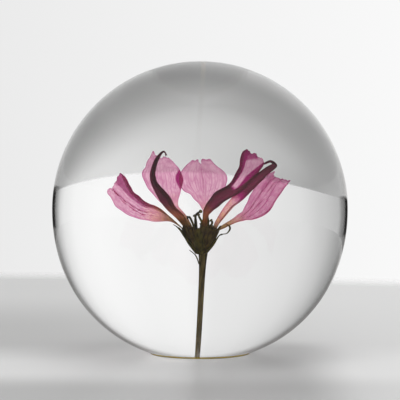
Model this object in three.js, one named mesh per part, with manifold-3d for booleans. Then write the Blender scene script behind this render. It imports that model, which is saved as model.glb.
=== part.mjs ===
// A paperweight: a clear cast ball, ground flat underneath, with one pressed-dry flower set in it.
// The ball stands on a thin clear pad just inside its foot's rim. Millimetres, +Z up, with the
// origin on the table under the ball's centre.
// The front of the piece faces -Y, so +X is to its right and +Y is towards its back.

import * as THREE from 'three';
import { ParametricGeometry } from 'three/addons/geometries/ParametricGeometry.js';
import { mergeVertices } from 'three/addons/utils/BufferGeometryUtils.js';
import Module from 'manifold-3d';

// ---- Driving dimensions ----

// the ball
const ballRadius = 40;
const lowerHalfHeight = 41; // the lower half is a little fuller than a true half ball
const lowerPower = 2.08; // the power in its outline: an ellipse's is 2, and more is squarer
const footRadius = 13.8; // the flat ground under the ball
const ballSides = 44;

// the pad under the foot
const padInset = 0.2; // how far the pad's rim lies inside the foot's
const padThickness = 0.3;
const padEdgeRound = 0.1;

// room between neighbours
const castingGap = 0.3; // between the casting and what is set in it
const heartRoom = 0.3; // more room than that, all round the cup and over the stamens
const pieceGap = 0.3; // between one piece of the flower and the next

// the cup that holds the petals
const cupMouthRadius = 3.6;
const cupHeight = 4.8;
const cupWall = 0.4;
const cupLedge = 0.15; // how far the cup's underside stands out past the stem
const bowlDepth = 2.4;
const cupDrop = 3.8; // how far the cup's mouth lies below the ball's centre
const cupOffset = 0.2; // how far the cup's axis lies to the right of the ball's

// the stem
const stemDiameter = 1.1;
const stemLean = 1.2; // how far the cut end has moved to the left of the cup's axis

// the petals
const bloomReach = 17.8; // from the cup's axis to the tip of the longest petal
const petalThickness = 0.4;
const clawDepth = 0.7; // how deep the petals are seated under the cup's mouth
const clawWidth = 1.2;

// the sepals round the cup
const sepalThickness = 0.35;
const sepalWidth = 1.5;
const sepalCupping = 0.15; // how far its edges bend in, as a share of its width

// the stamens and the pistil
const stamenRing = 1.3; // radius of the ring they stand on
const filamentDiameter = 0.44;
const antherDiameter = 0.95;
const pistilDiameter = 0.8;
const pistilLength = 3.4;

// the small leaf below the cup
const bractThickness = 0.3;

// ---- Sizes that follow ----

const footDepth = lowerHalfHeight * (1 - (footRadius / ballRadius) ** lowerPower) ** (1 / lowerPower);
const ballCentre = padThickness + footDepth;
const padRadius = footRadius - padInset;
const mouth = new THREE.Vector3(cupOffset, 0, ballCentre - cupDrop);
const cupFloor = -cupHeight;
const cupBottomRadius = stemDiameter / 2 + cupLedge;
const bowlRadius = cupMouthRadius - cupWall;
const seatRadius = bowlRadius * Math.sqrt(1 - (clawDepth / bowlDepth) ** 2) - pieceGap - petalThickness / 2;

// ---- Solids ----

const wasm = await Module();
wasm.setup();

// Turns a closed geometry into a solid, with its shared corners merged and its faces turned outwards.
function solidOf(geometry) {
  geometry.deleteAttribute('normal');
  geometry.deleteAttribute('uv');
  const merged = mergeVertices(geometry, 1e-4);
  const corners = merged.index.array;
  const positions = merged.attributes.position;
  const [a, b, c] = [new THREE.Vector3(), new THREE.Vector3(), new THREE.Vector3()];
  const faces = [];
  let volume = 0;
  for (let i = 0; i < corners.length; i += 3) {
    const [p, q, r] = [corners[i], corners[i + 1], corners[i + 2]];
    if (p === q || q === r || r === p) continue;
    faces.push([p, q, r]);
    a.fromBufferAttribute(positions, p);
    b.fromBufferAttribute(positions, q);
    c.fromBufferAttribute(positions, r);
    volume += a.dot(b.cross(c));
  }
  const outward = volume > 0 ? faces : faces.map(([p, q, r]) => [p, r, q]);
  return new wasm.Manifold(new wasm.Mesh({
    numProp: 3,
    vertProperties: Float32Array.from(positions.array),
    triVerts: Uint32Array.from(outward.flat()),
  }));
}

// The largest separate body of a solid, so that a sliver left by a cut is dropped.
function largestBody(solid) {
  return solid.decompose().reduce((best, body) => (body.volume() > best.volume() ? body : best));
}

function joined(solids) {
  return solids.reduce((whole, solid) => whole.add(solid));
}

function meshOf(name, solid, look) {
  const { vertProperties, triVerts } = solid.getMesh();
  const geometry = new THREE.BufferGeometry();
  geometry.setAttribute('position', new THREE.BufferAttribute(Float32Array.from(vertProperties), 3));
  geometry.setIndex(new THREE.BufferAttribute(Uint32Array.from(triVerts), 1));
  geometry.computeVertexNormals();
  const mesh = new THREE.Mesh(geometry, new THREE.MeshStandardMaterial(look));
  mesh.name = name;
  return mesh;
}

// A solid of revolution about +Z from a profile whose x is the radius and whose y is the height.
function turned(profile, sides) {
  return solidOf(new THREE.LatheGeometry(profile, sides).rotateX(Math.PI / 2));
}

// A round bar along a smooth curve through the given points.
function bar(points, diameter, steps, sides) {
  const section = new THREE.Shape().absarc(0, 0, diameter / 2, 0, 2 * Math.PI);
  const curve = new THREE.CatmullRomCurve3(points);
  return solidOf(new THREE.ExtrudeGeometry(section, {
    steps,
    curveSegments: sides,
    extrudePath: curve,
  }));
}

// A thin leaf: a sheet through three ribs, edge, midrib and edge, swept from root to tip, with a
// lens-shaped section. With grow it is larger all round by that much, for the hollow it sits in.
function leaf(stations, thickness, grow = 0, rows = 9) {
  const ribs = [0, 1, 2].map((k) => new THREE.CatmullRomCurve3(stations.map((station) => station[k])));
  // across runs from -1 at the left edge to 1 at the right: a parabola through the three ribs
  const sheet = (along, across) => {
    const [left, rib, right] = ribs.map((curve) => curve.getPoint(along));
    const half = right.clone().sub(left).multiplyScalar(across / 2);
    const bow = left.clone().add(right).multiplyScalar(0.5).sub(rib).multiplyScalar(across ** 2);
    return rib.clone().add(half).add(bow);
  };
  const step = 0.01;
  const surface = (turn, along, target) => {
    const across = Math.cos(2 * Math.PI * turn);
    const near = Math.min(Math.max(along, step), 1 - step);
    const forwards = sheet(near + step, across).sub(sheet(near - step, across)).normalize();
    const sideways = sheet(near, across + step).sub(sheet(near, across - step)).normalize();
    const normal = forwards.clone().cross(sideways).normalize();
    const closing = Math.min(1, rows * Math.min(along, 1 - along));
    const offset = (thickness / 2 + grow) * closing * Math.sin(2 * Math.PI * turn);
    const pastEdge = grow * Math.sign(across) * (Math.abs(across) > 0.99);
    const pastEnd = grow * ((along === 1) - (along === 0));
    target.copy(sheet(along, across)).addScaledVector(normal, offset)
      .addScaledVector(sideways, pastEdge).addScaledVector(forwards, pastEnd);
  };
  return solidOf(new ParametricGeometry(surface, 8, rows));
}

// ---- The cup ----

// The funnel that the petals stand in. The flower's frame has its origin at the middle of its mouth.
function cup(grow) {
  const outside = new THREE.SplineCurve([
    new THREE.Vector2(cupBottomRadius + grow, cupFloor - grow),
    new THREE.Vector2(cupMouthRadius * 0.4 + grow, cupFloor * 0.72),
    new THREE.Vector2(cupMouthRadius * 0.78 + grow, cupFloor * 0.3),
    new THREE.Vector2(cupMouthRadius + grow, grow),
  ]).getPoints(6);
  const bowl = new THREE.EllipseCurve(0, grow, bowlRadius - grow, bowlDepth, 0, -Math.PI / 2, true);
  const inside = bowl.getPoints(5);
  inside[inside.length - 1].x = 0;
  return turned([new THREE.Vector2(0, cupFloor - grow), ...outside, ...inside], 20);
}

// ---- The petals ----

const openPetal = { color: 0xde87b6, roughness: 0.6, metalness: 0 };
const foldedPetal = { color: 0x6d1c42, roughness: 0.6, metalness: 0 };

// Each petal leaves the cup at its heading, counted anticlockwise from the right as seen from above.
// Its stations run from the claw to the tip, each with a left edge, a midrib and a right edge. They
// are drawn round a mouth of drawnMouthRadius, and spread from there to the reach of the bloom.
const drawnMouthRadius = 3.6;
const petals = [
  { name: 'petal_far_left', heading: 180, look: openPetal, stations: [
    [[-5.4, -0.8, 1.5], [-5.7, -0.2, 2.1], [-5.7, 0.4, 2.5]],
    [[-9.1, -2.5, 1.6], [-8.7, -0.5, 3.2], [-8.2, 1.5, 4.4]],
    [[-12.4, -4.0, 2.5], [-11.0, -1.0, 3.8], [-10.1, 2.5, 5.1]],
    [[-15.9, -4.0, 4.2], [-13.7, -1.0, 5.6], [-12.0, 3.0, 6.9]],
    [[-17.3, -2.5, 6.3], [-15.3, 0.0, 7.4], [-12.9, 3.0, 8.7]],
    [[-17.7, -1.5, 7.5], [-16.4, 0.5, 8.3], [-14.4, 2.5, 10.0]]] },
  { name: 'petal_back_left', heading: 128, look: openPetal, stations: [
    [[-3.7, 1.6, 1.9], [-3.0, 2.0, 2.0], [-2.3, 2.3, 2.0]],
    [[-6.2, 3.0, 3.9], [-5.0, 4.0, 4.0], [-3.9, 4.6, 4.1]],
    [[-8.9, 4.0, 6.7], [-6.0, 6.0, 6.4], [-3.4, 6.5, 6.5]],
    [[-10.1, 4.5, 9.5], [-6.5, 7.0, 8.9], [-3.0, 7.5, 8.3]],
    [[-9.6, 4.5, 11.2], [-6.7, 7.0, 10.8], [-3.9, 7.5, 10.2]],
    [[-8.5, 4.5, 13.2], [-6.9, 6.0, 12.3], [-5.5, 6.5, 12.1]]] },
  { name: 'petal_front_left', heading: 212, look: foldedPetal, stations: [
    [[-2.6, -3.0, 2.8], [-4.0, -2.2, 2.0], [-3.7, -1.6, 3.3]],
    [[-4.4, -5.5, 4.6], [-6.3, -4.0, 4.0], [-5.0, -2.5, 5.2]],
    [[-6.1, -8.0, 7.0], [-8.2, -6.0, 6.3], [-7.2, -4.0, 7.0]],
    [[-8.9, -9.5, 10.0], [-9.9, -7.0, 9.9], [-8.8, -4.5, 9.6]],
    [[-9.0, -9.5, 12.6], [-9.8, -7.0, 12.4], [-8.7, -4.5, 11.9]],
    [[-8.2, -8.5, 15.1], [-9.0, -7.0, 14.5], [-8.1, -5.5, 14.1]],
    [[-7.2, -7.5, 16.0], [-7.4, -7.0, 16.1], [-7.2, -6.5, 15.6]]] },
  { name: 'petal_centre', heading: 84, look: openPetal, stations: [
    [[0.3, 3.0, 2.1], [0.7, 3.4, 2.1], [1.1, 3.0, 2.1]],
    [[0.2, 4.5, 3.6], [0.8, 5.0, 3.7], [1.5, 4.5, 3.9]],
    [[-1.4, 6.0, 5.4], [0.5, 7.0, 5.8], [2.8, 6.0, 5.6]],
    [[-3.2, 6.5, 6.7], [0.4, 8.0, 7.6], [4.0, 6.5, 6.9]],
    [[-3.5, 7.0, 9.2], [0.2, 9.0, 9.1], [4.3, 7.0, 8.9]],
    [[-2.0, 8.0, 11.0], [0.0, 9.3, 10.2], [2.2, 8.0, 10.7]]] },
  { name: 'petal_front_right', heading: 282, look: foldedPetal, stations: [
    [[0.3, -3.0, 2.3], [0.8, -3.4, 2.2], [1.3, -3.0, 2.3]],
    [[0.7, -4.0, 4.6], [1.4, -4.8, 4.4], [2.0, -4.0, 3.6]],
    [[2.3, -5.0, 7.0], [3.0, -6.0, 6.2], [3.9, -5.0, 5.2]],
    [[5.4, -6.0, 9.1], [6.6, -7.0, 8.0], [7.8, -6.5, 7.6]],
    [[7.1, -6.0, 12.1], [9.2, -8.0, 11.2], [10.4, -8.0, 10.6]],
    [[7.8, -5.5, 14.8], [10.5, -8.0, 14.0], [12.7, -8.5, 13.4]],
    [[9.3, -5.5, 16.3], [10.9, -7.0, 15.4], [12.4, -8.0, 14.7]]] },
  { name: 'petal_folded_right', heading: 335, look: foldedPetal, stations: [
    [[2.6, -1.8, 1.5], [3.1, -1.2, 1.1], [3.4, -0.6, 1.4]],
    [[4.8, -2.5, 5.1], [5.7, -1.5, 4.3], [5.2, 0.0, 3.6]],
    [[7.2, -4.0, 7.5], [8.2, -2.0, 6.4], [7.4, 0.5, 5.6]],
    [[9.7, -4.5, 9.9], [10.5, -2.0, 8.7], [9.7, 0.5, 8.0]],
    [[12.2, -4.0, 12.0], [12.6, -2.0, 10.7], [11.9, 0.0, 10.1]],
    [[13.7, -2.8, 12.8], [14.4, -2.0, 12.2], [14.0, -1.2, 11.9]]] },
  { name: 'petal_far_right', heading: 22, look: openPetal, stations: [
    [[3.7, 0.5, 0.7], [3.7, 0.9, 0.3], [4.0, 1.2, 0.1]],
    [[6.3, 0.5, 2.4], [6.6, 1.5, 1.9], [6.7, 2.3, 1.5]],
    [[7.7, 0.5, 4.0], [8.5, 3.0, 2.8], [9.1, 4.0, 1.7]],
    [[8.9, 0.0, 6.2], [10.2, 4.0, 4.5], [11.5, 5.0, 2.9]],
    [[10.4, 0.0, 8.4], [11.5, 4.0, 6.2], [13.0, 5.0, 5.1]],
    [[11.8, 0.5, 9.8], [12.8, 3.5, 7.9], [14.3, 4.5, 6.9]],
    [[13.3, 1.0, 10.6], [14.4, 2.5, 9.1], [15.6, 3.5, 8.4]]] },
];

const drawnPoints = petals.flatMap(({ stations }) => stations.flat());
const drawnReach = Math.max(...drawnPoints.map(([x, y]) => Math.hypot(x, y)));

// A drawn point of a petal at its real place: inside the mouth it keeps its share of the mouth's
// radius, and outside it keeps its share of the way from the mouth to the reach of the bloom.
function spread([x, y, z]) {
  const radius = Math.hypot(x, y);
  const past = (radius - drawnMouthRadius) / (drawnReach - drawnMouthRadius);
  const real = past < 0
    ? radius * cupMouthRadius / drawnMouthRadius
    : cupMouthRadius + past * (bloomReach - cupMouthRadius);
  return new THREE.Vector3(x * real / radius, y * real / radius, z * bloomReach / drawnReach);
}

// A point on a circle about the cup's axis, at a heading in degrees and a height over the mouth.
function onRing(radius, heading, height) {
  const angle = THREE.MathUtils.degToRad(heading);
  return new THREE.Vector3(radius * Math.cos(angle), radius * Math.sin(angle), height);
}

// A petal's stations with its claw's root added, which lies along the ring where the petals are
// seated. Its left edge is on the side where the first station has its own.
function petalStations({ heading, stations }) {
  const halfTurn = THREE.MathUtils.radToDeg(clawWidth / 2 / seatRadius);
  const root = [-halfTurn, 0, halfTurn].map((turn) => onRing(seatRadius, heading + turn, -clawDepth));
  const outer = stations.map((station) => station.map(spread));
  const rootLine = root[0].clone().sub(root[2]);
  const firstLine = outer[0][0].clone().sub(outer[0][2]);
  if (rootLine.dot(firstLine) < 0) root.reverse();
  return [root, ...outer];
}

// ---- The sepals ----

const sepalLook = { color: 0x5c5423, roughness: 0.7, metalness: 0 };

// Sepals hug the outside of the cup and stand out past its mouth; one has curled over.
const sepals = [
  { name: 'sepal_left', heading: 195 },
  { name: 'sepal_front', heading: 262 },
  { name: 'sepal_back_left', heading: 128 },
  { name: 'sepal_back_right', heading: 62 },
];

// A band along a path of points (radius, height, width) in the plane of a heading, its edges bent in.
function bandStations(path, heading) {
  const outwards = onRing(1, heading, 0);
  const side = onRing(1, heading + 90, 0);
  return path.map(([radius, height, width]) => [-1, 0, 1].map((edge) => onRing(radius, heading, height)
    .addScaledVector(side, edge * width / 2)
    .addScaledVector(outwards, -sepalCupping * width * Math.abs(edge))));
}

// A sepal's path up the cup, from rows of: share of the mouth's radius, distance past that, share of
// the cup's height below the mouth, and share of the sepal's width. It clears the cup by a gap.
function sepalPath(rows) {
  return rows.map(([radiusShare, past, depthShare, widthShare]) => [
    cupMouthRadius * radiusShare + past + pieceGap + sepalThickness,
    -cupHeight * depthShare,
    sepalWidth * widthShare,
  ]);
}

const straightSepal = sepalPath([
  [0, cupBottomRadius, 0.95, 0.5],
  [0.5, 0, 0.68, 1],
  [0.78, 0, 0.35, 1],
  [1, 0, 0.02, 0.7],
  [1, 0.6, -0.15, 0.2],
]);
const curledSepal = sepalPath([
  [0, cupBottomRadius, 0.97, 0.5],
  [0.5, 0, 0.74, 1],
  [0.72, 0, 0.42, 0.7],
  [1, 0.1, 0.2, 0.4],
  [1, 1, 0.12, 0.35],
  [1, 1.4, -0.06, 0.4],
  [1, 1, -0.17, 0.3],
]);

// ---- The stamens and the pistil ----

const stamenLook = { color: 0x4a3d1c, roughness: 0.7, metalness: 0 };

// Each stamen rises from the ring at its heading, to a bend and then to its anther.
const stamens = [
  { heading: 190, bend: [-1.7, -0.3, 1.7], anther: [-2.5, -0.5, 2.4] },
  { heading: 245, bend: [-1.1, -1.1, 2.9], anther: [0.0, -1.5, 3.6] },
  { heading: 300, bend: [0.4, -1.2, 1.4], anther: [-0.4, -0.6, 3.0] },
  { heading: 350, bend: [1.9, -0.2, 0.8], anther: [1.8, -0.3, 1.9] },
  { heading: 45, bend: [1.3, 1.2, 1.4], anther: [1.1, 1.4, 2.7] },
  { heading: 120, bend: [-0.9, 1.3, 1.5], anther: [-1.2, 1.7, 2.6] },
];

// The height of the bowl's floor over the cup's mouth at a distance from its axis.
function bowlHeight(radius) {
  return -bowlDepth * Math.sqrt(1 - (radius / bowlRadius) ** 2);
}

function stamen({ heading, bend, anther }, grow) {
  const rootHeight = bowlHeight(stamenRing) + pieceGap + filamentDiameter / 2;
  const root = onRing(stamenRing, heading, rootHeight - grow);
  const tip = new THREE.Vector3(...anther);
  const filament = bar([root, new THREE.Vector3(...bend), tip], filamentDiameter + 2 * grow, 6, 3);
  const head = new THREE.SphereGeometry(antherDiameter / 2 + grow, 8, 6);
  return filament.add(solidOf(head.translate(...tip.toArray())));
}

function pistil(grow) {
  const foot = bowlHeight(0) + pieceGap - grow;
  const length = pistilLength + 2 * grow;
  const points = [0, length / 2, length].map((rise) => new THREE.Vector3(0, 0, foot + rise));
  return bar(points, pistilDiameter + 2 * grow, 2, 4);
}

// ---- The stem and the small leaf on it ----

// The stem hangs from the cup and leans to the left; its cut end is level with the ball's foot.
function stem(grow, reach) {
  const top = cupFloor - pieceGap;
  const bottom = -(mouth.z - padThickness - reach);
  const points = [0, 0.2, 0.55, 1].map((share) => new THREE.Vector3(
    -stemLean * share ** 1.5, 0, top + grow + share * (bottom - top - grow)));
  return bar(points, stemDiameter + 2 * grow, 10, 4);
}

// The small leaf's path, from rows of: distance out from the stem's side, drop below the cup, width.
const bractPath = [
  [0.55, 1.1, 0.6],
  [0.75, 0.4, 0.8],
  [1.35, -0.1, 0.6],
  [1.85, -0.5, 0.2],
].map(([out, drop, width]) => [stemDiameter / 2 + out, cupFloor - drop, width]);

// ---- Setting the flower together ----

const cupLook = { color: 0x37301a, roughness: 0.75, metalness: 0 };
const stemLook = { color: 0x4b412d, roughness: 0.7, metalness: 0 };

// Every piece of the flower, in the order it is set, as a function of how much larger it is made.
const makers = [
  { name: 'calyx_cup', look: cupLook, make: cup },
  { name: 'flower_stem', look: stemLook, make: (grow) => stem(grow, castingGap) },
  ...petals.map((petal) => ({
    name: petal.name,
    look: petal.look,
    make: (grow) => leaf(petalStations(petal), petalThickness, grow),
  })),
  { name: 'pistil', look: stamenLook, make: pistil },
  ...stamens.map((one, i) => ({
    name: `stamen_${i + 1}`,
    look: stamenLook,
    make: (grow) => stamen(one, grow),
  })),
  {
    name: 'sepal_curled',
    look: sepalLook,
    make: (grow) => leaf(bandStations(curledSepal, 350), sepalThickness, grow),
  },
  ...sepals.map(({ name, heading }) => ({
    name,
    look: sepalLook,
    make: (grow) => leaf(bandStations(straightSepal, heading), sepalThickness, grow, 6),
  })),
  {
    name: 'bract',
    look: sepalLook,
    make: (grow) => leaf(bandStations(bractPath, 180), bractThickness, grow, 5),
  },
];

const flower = new THREE.Group();
flower.position.copy(mouth);
const placed = [];
for (const { name, make, look } of makers) {
  const whole = make(0);
  const trimmed = placed.length ? largestBody(whole.subtract(joined(placed))) : whole;
  flower.add(meshOf(name, trimmed, look));
  placed.push(make(pieceGap));
}

// ---- The ball and its pad ----

// The ball's profile: the ground foot, the fuller lower half, then the round upper half. The lower
// half is a superellipse, whose cosine and sine are raised to 2 over the power.
const profileSteps = 12;
const footAngle = Math.acos((footRadius / ballRadius) ** (lowerPower / 2));
const lowerHalf = Array.from({ length: profileSteps }, (_, i) => {
  const angle = footAngle * (1 - i / profileSteps);
  return new THREE.Vector2(
    ballRadius * Math.cos(angle) ** (2 / lowerPower),
    ballCentre - lowerHalfHeight * Math.sin(angle) ** (2 / lowerPower));
});
const upperHalf = new THREE.EllipseCurve(0, ballCentre, ballRadius, ballRadius, 0, Math.PI / 2)
  .getPoints(profileSteps);
upperHalf[profileSteps].x = 0;
const ballProfile = [new THREE.Vector2(0, padThickness), ...lowerHalf, ...upperHalf];

// The hollow round the flower's heart: the cup, the sepals against it and the stamens over it.
function heartHollow() {
  const clear = castingGap + heartRoom;
  const wall = new THREE.SplineCurve(straightSepal.map(([radius, height]) => (
    new THREE.Vector2(radius + sepalThickness / 2 + clear, height)))).getPoints(5);
  const rim = wall[wall.length - 1];
  const top = Math.max(...stamens.map(({ anther }) => anther[2])) + antherDiameter / 2 + clear;
  const dome = new THREE.EllipseCurve(0, rim.y, rim.x, top - rim.y, 0, Math.PI / 2).getPoints(6);
  dome[dome.length - 1].x = 0;
  const floor = cupFloor - pieceGap - castingGap;
  const underside = [new THREE.Vector2(0, floor), new THREE.Vector2(wall[0].x, floor)];
  return turned([...underside, ...wall, ...dome.slice(1)], 20);
}

// The casting fits round the flower: the heart's hollow, a slot for each petal and for each leaf
// that stands clear of the cup, and the stem's channel, which runs out through the foot.
const slots = makers.filter(({ name }) => /petal|sepal_curled|bract/.test(name));
const channel = stem(castingGap, -castingGap);
const cavity = joined([heartHollow(), channel, ...slots.map(({ make }) => make(castingGap))]);
const casting = largestBody(turned(ballProfile, ballSides).subtract(cavity.translate(mouth.toArray())));
const globe = meshOf('resin_globe', casting, { color: 0xf4f6f4, roughness: 0.05, metalness: 0 });

const padProfile = new THREE.Path()
  .moveTo(0, 0)
  .lineTo(padRadius - padEdgeRound, 0)
  .absarc(padRadius - padEdgeRound, padEdgeRound, padEdgeRound, -Math.PI / 2, 0, false)
  .lineTo(padRadius, padThickness - padEdgeRound)
  .absarc(padRadius - padEdgeRound, padThickness - padEdgeRound, padEdgeRound, 0, Math.PI / 2, false)
  .lineTo(0, padThickness)
  .getPoints(2);
const padLook = { color: 0xc9ae6a, roughness: 0.25, metalness: 0 };
const pad = meshOf('foot_pad', turned(padProfile, ballSides), padLook);

const paperweight = new THREE.Group();
paperweight.add(globe, pad, flower);

export default paperweight;
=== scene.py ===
"""A clear cast ball with a dried flower in it, on a thin pad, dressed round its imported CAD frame."""

import math

import bpy
import numpy as np
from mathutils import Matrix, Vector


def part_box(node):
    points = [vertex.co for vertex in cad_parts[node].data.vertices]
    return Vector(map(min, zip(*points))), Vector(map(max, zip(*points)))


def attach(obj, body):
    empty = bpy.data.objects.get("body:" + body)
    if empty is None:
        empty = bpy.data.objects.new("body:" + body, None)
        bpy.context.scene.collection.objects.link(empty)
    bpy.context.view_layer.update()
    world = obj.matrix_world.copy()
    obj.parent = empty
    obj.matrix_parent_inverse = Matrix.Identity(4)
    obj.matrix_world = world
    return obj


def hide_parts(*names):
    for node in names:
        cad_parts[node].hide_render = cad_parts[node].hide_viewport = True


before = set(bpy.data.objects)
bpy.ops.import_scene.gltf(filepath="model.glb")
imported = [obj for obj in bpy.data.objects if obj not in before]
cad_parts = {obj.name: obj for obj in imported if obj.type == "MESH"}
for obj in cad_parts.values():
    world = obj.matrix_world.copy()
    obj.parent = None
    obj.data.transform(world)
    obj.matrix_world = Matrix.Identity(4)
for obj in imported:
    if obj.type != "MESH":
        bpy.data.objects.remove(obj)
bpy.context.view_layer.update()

MM = 0.001

# ---- The table and the light --------------------------------------------------------------------
# A big round pale table whose edge shows a little way behind the ball, in a plain white room:
# light comes from behind and above, as from a window with a blind drawn over it.

ball_low, ball_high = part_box("resin_globe")
ball_radius = (ball_high.x - ball_low.x) / 2
ball_centre = np.array([0.0, 0.0, ball_high.z - ball_radius])


def make_material(name):
    """A new material with an empty node tree: the material, its nodes, its links and its output."""
    made = bpy.data.materials.new(name)
    made.use_nodes = True
    tree = made.node_tree
    tree.nodes.clear()
    return made, tree.nodes, tree.links, tree.nodes.new("ShaderNodeOutputMaterial")


def make_mesh(name, vertices, faces, material, smooth=True):
    """An object from an array of vertices in metres and a list of faces, linked to the scene."""
    mesh = bpy.data.meshes.new(name)
    mesh.from_pydata(vertices, [], faces)
    mesh.materials.append(material)
    mesh.shade_smooth() if smooth else mesh.shade_flat()
    made = bpy.data.objects.new(name, mesh)
    bpy.context.scene.collection.objects.link(made)
    return made


def tree_maker(nodes, links):
    """Three short ways to add a node to a tree: a sum or other calculation, a smooth step from one
    number to another, and a blend of two colours. Each gives the new node's output socket."""
    def put(socket, value):
        if isinstance(value, bpy.types.NodeSocket):
            links.new(value, socket)
        elif value is not None:
            socket.default_value = value

    def calc(operation, first, second=None, third=None):
        node = nodes.new("ShaderNodeMath")
        node.operation = operation
        for socket, value in zip(node.inputs, (first, second, third)):
            put(socket, value)
        return node.outputs[0]

    def step(value, low, high, to_low=0.0, to_high=1.0):
        node = nodes.new("ShaderNodeMapRange")
        node.interpolation_type = "SMOOTHSTEP"
        for name, number in (("Value", value), ("From Min", low), ("From Max", high),
                             ("To Min", to_low), ("To Max", to_high)):
            put(node.inputs[name], number)
        return node.outputs["Result"]

    def blend(factor, low, high):
        node = nodes.new("ShaderNodeMix")
        node.data_type = "RGBA"
        for name, value in (("Factor", factor), ("A", low), ("B", high)):
            put(node.inputs[name], value)
        return node.outputs["Result"]

    return calc, step, blend


# the round table: its centre and radius
table_middle = np.array([-2.55, -7.3, 0.0]) * ball_radius
table_radius = 12.85 * ball_radius

table_finish, nodes, links, out = make_material("satin_table")
calc, step, blend = tree_maker(nodes, links)
paint = nodes.new("ShaderNodeBsdfPrincipled")
paint.inputs["Roughness"].default_value = 0.38
paint.inputs["Specular IOR Level"].default_value = 0.5
coords = nodes.new("ShaderNodeTexCoord")
speckle = nodes.new("ShaderNodeTexNoise")
speckle.inputs["Scale"].default_value = 30
links.new(coords.outputs["Object"], speckle.inputs["Vector"])
spot = nodes.new("ShaderNodeSeparateXYZ")
links.new(coords.outputs["Object"], spot.inputs["Vector"])
rightward, backward = spot.outputs["X"], spot.outputs["Y"]


def distance_from(point):
    """How far a point of the table lies from the given one."""
    node = nodes.new("ShaderNodeVectorMath")
    node.operation = "DISTANCE"
    links.new(coords.outputs["Object"], node.inputs[0])
    node.inputs[1].default_value = point
    return node.outputs["Value"]


def over_range(value, low, high, at_low=0.0, at_high=1.0):
    """A smooth step whose two ends are given in ball radii."""
    return step(value, low * ball_radius, high * ball_radius, at_low, at_high)


# painted light and shade: the table's colour is darkest close behind the ball and far to the left,
# and pale farther back, in a painted pool of light in front of the ball and a painted glow beside it
ray = nodes.new("ShaderNodeLightPath")
sideways = calc("ABSOLUTE", rightward)
far = over_range(calc("MULTIPLY_ADD", sideways, -0.4, backward), 1.05, 3.5)
pool = calc("MULTIPLY", over_range(backward, -0.6, 0.6, 1.0, 0.0),
            over_range(backward, -1.9, -1.0, 0.3, 1.0))
glow = over_range(distance_from((-0.75 * ball_radius, 0.2 * ball_radius, 0)), 1.0, 1.8, 0.65, 0.0)
# painted shade: a dark tone, speckled at random, where the table lies in shade near the ball
speckled_painted_shade = blend(speckle.outputs["Fac"], (0.17, 0.17, 0.168, 1), (0.19, 0.19, 0.188, 1))
near = blend(calc("MAXIMUM", pool, glow), speckled_painted_shade, (0.78, 0.78, 0.775, 1))
lit = blend(far, near, (0.97, 0.97, 0.965, 1))
shaded = blend(over_range(rightward, -3.2, 1.8, 0.75, 0.0), lit, (0.2, 0.2, 0.2, 1))
# seen directly its painted light is evener, and paler to the right, with a painted soft shadow in
# front of the ball and a little to its right
shadow_tone = (0.15, 0.15, 0.148, 1)
plain = blend(over_range(rightward, -1.6, 1.6), (0.50, 0.50, 0.495, 1), (0.82, 0.82, 0.815, 1))
dim = calc("MULTIPLY", over_range(backward, -1.6, -0.8, 1.0, 0.0),
           over_range(rightward, 0.3, 1.4, 0.5, 0.1))
plain = blend(dim, plain, shadow_tone)
plain = blend(calc("MULTIPLY", pool, 0.85), plain, (0.98, 0.98, 0.975, 1))
from_patch = calc("ABSOLUTE", calc("SUBTRACT", rightward, 0.4 * ball_radius))
patch = calc("MULTIPLY", over_range(backward, -3.5, -1.0, 0.12, 0.4),
             over_range(from_patch, 0.2, 0.65, 1.0, 0.0))
patch = calc("MULTIPLY", patch, over_range(backward, 0.2, 0.8, 1.0, 0.0))
plain = blend(patch, plain, shadow_tone)
plain = blend(over_range(backward, 1.5, 4, 0.0, 0.6), plain, (0.86, 0.86, 0.855, 1))
links.new(blend(ray.outputs["Is Camera Ray"], shaded, plain), paint.inputs["Base Color"])
# the back edge is rounded off: it fades out softly where it is seen directly
soft = calc("MULTIPLY_ADD", ray.outputs["Is Camera Ray"], 0.35 * ball_radius, 0.12 * ball_radius)
fade = step(distance_from(table_middle), calc("SUBTRACT", table_radius, soft),
            calc("ADD", table_radius, soft))
gone = nodes.new("ShaderNodeBsdfTransparent")
edge = nodes.new("ShaderNodeMixShader")
links.new(fade, edge.inputs["Fac"])
links.new(paint.outputs["BSDF"], edge.inputs[1])
links.new(gone.outputs["BSDF"], edge.inputs[2])
links.new(edge.outputs["Shader"], out.inputs["Surface"])

table_reach = table_radius + ball_radius
corners = [table_middle + table_reach * np.array([x, y, 0])
           for x, y in ((-1, -1), (1, -1), (1, 1), (-1, 1))]
table = make_mesh("table", corners, [(0, 1, 2, 3)], table_finish, smooth=False)

room = bpy.data.worlds.new("white_room")
room.use_nodes = True
bpy.context.scene.world = room
nodes, links = room.node_tree.nodes, room.node_tree.links
calc, step, blend = tree_maker(nodes, links)
coords = nodes.new("ShaderNodeTexCoord")
way = nodes.new("ShaderNodeSeparateXYZ")
links.new(coords.outputs["Generated"], way.inputs["Vector"])
# degrees to the right of the middle of the back wall, and the light that comes from each bearing
bearing = calc("MULTIPLY", calc("ARCTAN2", way.outputs["X"], way.outputs["Y"]), math.degrees(1))
wall_end = 100
wall_light = {-wall_end: 0.62, -76: 0.15, -62: 0.28, -45: 0.58, -30: 0.74, -15: 0.81, -4: 0.83, 0: 0.89,
              4: 0.945, 15: 0.94, 30: 0.99, 45: 1.0, 56: 0.88, 66: 0.52, 76: 0.20, wall_end: 0.62}
wall = nodes.new("ShaderNodeValToRGB")
stops = wall.color_ramp.elements
while len(stops) < len(wall_light):
    stops.new(0.5)
for stop, (angle, light) in zip(stops, wall_light.items()):
    stop.position = (angle + wall_end) / (2 * wall_end)
    stop.color = (light, light, light, 1)
links.new(calc("DIVIDE", calc("ADD", bearing, wall_end), 2 * wall_end), wall.inputs["Fac"])
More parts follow.
